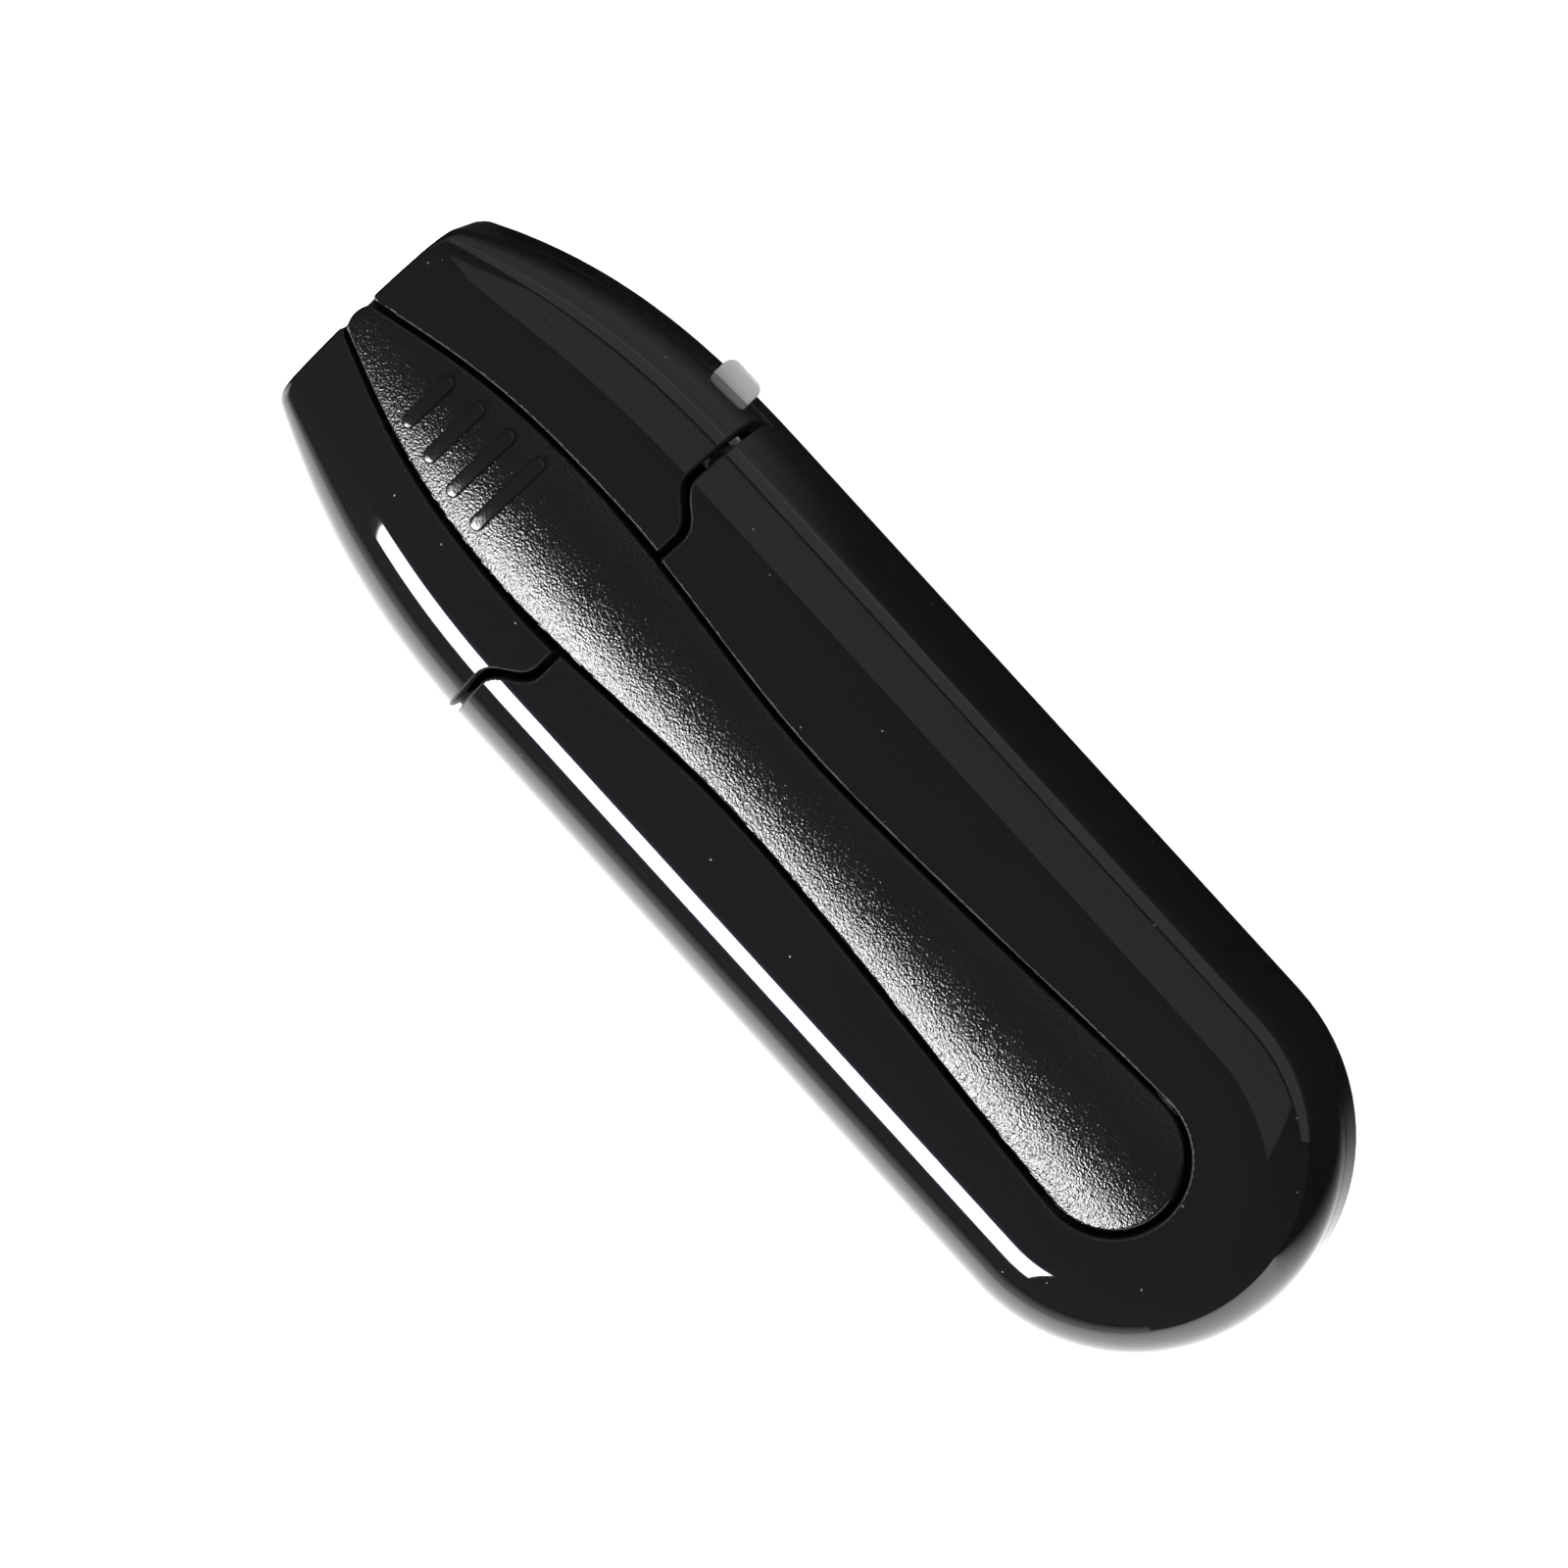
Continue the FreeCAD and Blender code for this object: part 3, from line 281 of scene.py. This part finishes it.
class Skin:
    """The casing's outer skin: how far a point stands outside it, section by section.

    The head is the last length before the front, over which the width, shoulder and ridge change.
    """

    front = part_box("front_hood")[1].x / MM
    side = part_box("rear_cover")[1].y / MM
    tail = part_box("rear_cover")[0].x / MM + side
    lever_proud = 0.3
    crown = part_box("lever_cover")[1].z / MM - lever_proud
    head, taper, taper_power = 28.0, 6.2, 2.75
    drop, drop_length = 3.1, 26.4
    shoulder, narrowing, narrowing_power = 5.6, 3.6, 5.0
    crown_radius = 59.5
    under_round = 2.6
    parting = 6.03
    lever_radius = 15.0

    def ahead(self, x, length):
        """How far x has got into the head's last length, from 0 to 1 at the front."""
        return max(length - (self.front - x), 0.0) / length

    def ridge(self, x):
        return self.crown - self.drop * self.ahead(x, self.drop_length) ** 2

    def outside(self, x, y, z):
        """Distance of a point outside the casing's skin, in its own cross-section."""
        across = math.hypot(y, x - self.tail) if x < self.tail else abs(y)
        reach = self.ahead(x, self.head)
        width = self.side - self.taper * reach ** self.taper_power
        if z < self.parting:
            return self.outside_tray(across, z, width)
        shelf = width - self.shoulder + self.narrowing * reach ** self.narrowing_power
        tilt = math.asin(shelf / self.crown_radius)
        middle = self.ridge(x) - self.crown_radius
        radius = (width - shelf) / (1 - math.sin(tilt))
        centre_y = shelf - radius * math.sin(tilt)
        centre_z = middle + (self.crown_radius - radius) * math.cos(tilt)
        if across < shelf:
            return math.hypot(across, z - middle) - self.crown_radius
        if z < centre_z:
            return across - width
        return math.hypot(across - centre_y, z - centre_z) - radius

    def outside_tray(self, across, z, width):
        corner = width - self.under_round
        if z < self.under_round and across > corner:
            return math.hypot(across - corner, z - self.under_round) - self.under_round
        return across - width

    def above_lever(self, x, y, z):
        """Distance of a point above the lever's crowned top."""
        middle = self.ridge(x) + self.lever_proud - self.lever_radius
        return math.hypot(y, z - middle) - self.lever_radius


SKIN = Skin()
SKIN_STEP = 0.004
SKIN_TOLERANCE = 0.12
SKIN_ANGLE = math.radians(24)
ROUNDED_NOSE = 1.0
NOSE_POLISH = 2.0


def skin_normal(outside, point):
    """The skin's own normal at a point, or None if the point isn't on the skin."""
    x, y, z = point / MM
    if x > SKIN.front - ROUNDED_NOSE or abs(outside(x, y, z)) > SKIN_TOLERANCE:
        return None
    slope = Vector((
        outside(x + SKIN_STEP, y, z) - outside(x - SKIN_STEP, y, z),
        outside(x, y + SKIN_STEP, z) - outside(x, y - SKIN_STEP, z),
        outside(x, y, z + SKIN_STEP) - outside(x, y, z - SKIN_STEP),
    ))
    return slope.normalized() if slope.length > 0 else None


def polish(piece, outside):
    """Gives every corner on the moulded skin its true normal, and marks the faces off the skin."""
    mesh = piece.data
    truth = [skin_normal(outside, vertex.co) for vertex in mesh.vertices]
    normals = [corner.vector.copy() for corner in mesh.corner_normals]
    dull = []
    for face in mesh.polygons:
        on_skin = 0
        for corner in face.loop_indices:
            own = truth[mesh.loops[corner].vertex_index]
            if own and face.normal.angle(own, math.pi) < SKIN_ANGLE:
                normals[corner] = own
                on_skin += 1
        nose = face.center.x / MM > SKIN.front - NOSE_POLISH
        dull.append(float(on_skin < face.loop_total and not nose))
    mesh.attributes.new(RIM, "FLOAT", "FACE").data.foreach_set("value", dull)
    mesh.normals_split_custom_set(normals)


# ---- pieces --------------------------------------------------------------------

SHELLS = ("base_tray", "rear_cover", "front_hood")
SMOOTH_BELOW = math.radians(28)
MERGE = 1e-6
EDGE_BREAK = {
    "upper_jaw": 0.08, "lower_jaw": 0.08, "lever_frame": 0.08, "hinge_bracket": 0.08,
    "lock_slider": 0.12, "press_pad": 0.08, "lever_pin": 0.08,
}
BREAK_SEGMENTS = 2
SHARP_ABOVE = math.radians(40)
FLAT = math.radians(0.4)


def pick(piece):
    """Makes one piece the only one selected."""
    bpy.ops.object.select_all(action="DESELECT")
    piece.select_set(True)
    bpy.context.view_layer.objects.active = piece


def welded_copy(node):
    """A copy of a CAD node with its loose triangles joined into one skin."""
    source = frame["nodes"][node]
    piece = source.copy()
    piece.data = source.data.copy()
    piece.name = node + "_made"
    piece.parent = None
    for key in [key for key in piece.keys() if key.startswith("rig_")]:
        del piece[key]
    bpy.context.scene.collection.objects.link(piece)
    shape = bmesh.new()
    shape.from_mesh(piece.data)
    bmesh.ops.remove_doubles(shape, verts=shape.verts, dist=MERGE)
    shape.to_mesh(piece.data)
    shape.free()
    return piece


def break_edges(piece, size):
    """Flat faces made whole, then every sharp edge given a small bevel."""
    bpy.ops.object.mode_set(mode="EDIT")
    bpy.ops.mesh.select_all(action="SELECT")
    bpy.ops.mesh.dissolve_limited(angle_limit=FLAT)
    bpy.ops.object.mode_set(mode="OBJECT")
    bevel = piece.modifiers.new("edge_break", "BEVEL")
    bevel.width = size * MM
    bevel.segments = BREAK_SEGMENTS
    bevel.limit_method = "ANGLE"
    bevel.angle_limit = SHARP_ABOVE
    bpy.ops.object.modifier_apply(modifier=bevel.name)


def make(node):
    """Makes the finished piece that stands for a CAD node."""
    finish = FINISH_OF_NODE[node]
    body = frame["nodes"][node]["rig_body"]
    piece = welded_copy(node)
    pick(piece)
    if node in EDGE_BREAK:
        break_edges(piece, EDGE_BREAK[node])
    bpy.ops.object.shade_smooth_by_angle(angle=SMOOTH_BELOW)
    if node in SHELLS:
        polish(piece, SKIN.outside)
    if node == "lever_cover":
        polish(piece, SKIN.above_lever)
    piece.data.materials.clear()
    piece.data.materials.append(FINISHES[finish])
    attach(piece, body)
    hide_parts(node)


for node_name in FINISH_OF_NODE:
    make(node_name)


# ---- floor and light ---------------------------------------------------------------

FLOOR_REACH = 20.0
FLOOR_Z = -0.00002
PAPER_TONES = (grey(0.80), grey(0.81))
PAPER_SCALE = 30
PAPER_ROUGHNESS = 0.8
PAPER_GLOW = 1.0

CARD_Z = -0.00001
CARD_REACH = 1.5
CARD_TOP = 0.40
CARD_EDGE = -0.014
CARD_FADE = 0.020
CARD_FRONT = 0.040
CARD_SLANT = 1.5
CARD_FAR = 0.30
CARD_FAR_LEVEL = 0.4
CARD_STRENGTH = 3.0
RIGHT_EDGE = -0.014
RIGHT_BACK = 0.010
RIGHT_LEVEL = 0.12


def floor_white():
    """Pale matt paper that is lit a little from within, so that it stays even."""
    mixer = Mixer("floor_white")
    mixer.feed("Base Color", mixer.blend(mixer.noise(PAPER_SCALE), *PAPER_TONES))
    mixer.feed("Roughness", PAPER_ROUGHNESS)
    mixer.feed("Emission Color", grey(1.0))
    mixer.feed("Emission Strength", PAPER_GLOW)
    return mixer.material


def card_white():
    """White card: bright beside the left flank, faint beside the right of the head."""
    mixer = Mixer("card_white")
    mixer.feed("Base Color", grey(0.0))
    length, side, height = (mixer.axis(letter) for letter in "XYZ")
    near = mixer.faded(side, CARD_EDGE, CARD_EDGE + CARD_FADE)
    behind = mixer.faded(length - side * CARD_SLANT, CARD_FRONT, CARD_FRONT - CARD_FADE)
    far = mixer.faded(side, CARD_FAR, 0.0) * (1 - CARD_FAR_LEVEL) + CARD_FAR_LEVEL
    low = mixer.faded(height, CARD_TOP, 0.0)
    right = mixer.faded(side, RIGHT_EDGE, RIGHT_EDGE - CARD_FADE) * RIGHT_LEVEL
    ahead = mixer.faded(length, RIGHT_BACK, RIGHT_BACK + CARD_FADE)
    glow = near * behind * far * low + right * ahead
    mixer.feed("Emission Color", mixer.blend(glow, grey(0.0), grey(1.0)))
    mixer.feed("Emission Strength", CARD_STRENGTH)
    return mixer.material


def backdrop_piece(name, corners, faces, material):
    """Thin sheet of flat faces that belongs to the studio, not to the object."""
    mesh = bpy.data.meshes.new(name)
    mesh.from_pydata(corners, [], faces)
    made = bpy.data.objects.new(name, mesh)
    bpy.context.scene.collection.objects.link(made)
    mesh.materials.append(material)
    return made


def lay_floor():
    """White floor that the polish doesn't see."""
    far = FLOOR_REACH
    corners = [(-far, -far, FLOOR_Z), (far, -far, FLOOR_Z), (far, far, FLOOR_Z), (-far, far, FLOOR_Z)]
    floor = backdrop_piece("floor", corners, [(0, 1, 2, 3)], floor_white())
    floor.visible_glossy = False


def lay_card():
    """White card under the object, bent up far to its left, that only the polish sees."""
    bend = [(-CARD_REACH, CARD_Z), (CARD_REACH, CARD_Z), (CARD_REACH, CARD_TOP)]
    corners = [(x, y, z) for y, z in bend for x in (-CARD_REACH, CARD_REACH)]
    card = backdrop_piece("bounce_card", corners, [(0, 1, 3, 2), (2, 3, 5, 4)], card_white())
    card.visible_camera = False
    card.visible_diffuse = False
    card.visible_shadow = False


LIGHT_CENTRE = Vector((0, 0, 0.012))


def softbox(name, angles, reach, distance, radiance, colour=(1, 1, 1), glossy=True):
    """Rectangular light along X.

    Its two angles, in degrees, run from overhead towards the left flank, and its reach runs along X.
    """
    middle = math.radians(sum(angles) / 2)
    half = math.radians(angles[1] - angles[0]) / 2
    back = Vector((0, math.sin(middle), math.cos(middle)))
    along = Vector((1, 0, 0))
    lamp = bpy.data.lights.new(name, "AREA")
    lamp.shape = "RECTANGLE"
    lamp.size = reach[1] - reach[0]
    lamp.size_y = 2 * distance * math.tan(half)
    lamp.energy = radiance * math.pi * lamp.size * lamp.size_y
    lamp.color = colour
    holder = bpy.data.objects.new(name, lamp)
    bpy.context.scene.collection.objects.link(holder)
    place = Matrix((along, back.cross(along), back)).transposed().to_4x4()
    place.translation = LIGHT_CENTRE + back * distance + along * sum(reach) / 2
    holder.matrix_world = place
    holder.visible_glossy = glossy


STRIP_REACH = (-0.078, 0.19)
WORLD_STRENGTH = 0.12


def studio():
    softbox("strip_box", (36.5, 56.7), STRIP_REACH, distance=0.45, radiance=30.0)
    softbox("strip_halo", (33.5, 59), STRIP_REACH, distance=0.5, radiance=0.6, colour=(0.32, 0.47, 1.0))
    softbox("overhead", (-35, 35), (-0.7, 0.7), distance=1.2, radiance=1.6, glossy=False)
    softbox("warm_side", (-72, -22), (-0.5, 0.5), distance=0.7, radiance=0.34, colour=(1.0, 0.94, 0.88))
    softbox("cool_side", (-112, -76), (-0.3, 0.3), distance=0.25, radiance=0.50, colour=(0.93, 0.95, 1.0))


def surroundings():
    """Even white room, and colours shown as they are."""
    world = bpy.data.worlds.new("studio")
    world.use_nodes = True
    backdrop = world.node_tree.nodes["Background"]
    backdrop.inputs["Color"].default_value = grey(1.0)
    backdrop.inputs["Strength"].default_value = WORLD_STRENGTH
    bpy.context.scene.world = world
    bpy.context.scene.view_settings.view_transform = "Standard"


# ---- camera ----------------------------------------------------------------------------

VIEW_AZIMUTH = math.radians(-104.34)
VIEW_ELEVATION = math.radians(74.85)
VIEW_TURN = math.radians(132.34)
VIEW_DISTANCE = 1.0
VIEW_CENTRE = Vector((0, 0, 0.007))
VIEW_RIGHT = -0.00267
VIEW_UP = 0.00119
LENS = 336.0
SENSOR = 36.0


def camera():
    """High three-quarter view with a long lens: the head is up and to the left."""
    back = Vector((
        math.cos(VIEW_ELEVATION) * math.cos(VIEW_AZIMUTH),
        math.cos(VIEW_ELEVATION) * math.sin(VIEW_AZIMUTH),
        math.sin(VIEW_ELEVATION),
    ))
    ahead = Vector((1, 0, 0))
    ahead = (ahead - ahead.dot(back) * back).normalized()
    beside = back.cross(ahead)
    right = ahead * math.cos(VIEW_TURN) - beside * math.sin(VIEW_TURN)
    up = ahead * math.sin(VIEW_TURN) + beside * math.cos(VIEW_TURN)
    lens = bpy.data.cameras.new("camera")
    lens.lens = LENS
    lens.sensor_width = SENSOR
    holder = bpy.data.objects.new("camera", lens)
    bpy.context.scene.collection.objects.link(holder)
    place = Matrix((right, up, back)).transposed().to_4x4()
    place.translation = VIEW_CENTRE + back * VIEW_DISTANCE + right * VIEW_RIGHT + up * VIEW_UP
    holder.matrix_world = place
    bpy.context.scene.camera = holder


lay_floor()
lay_card()
studio()
surroundings()
camera()
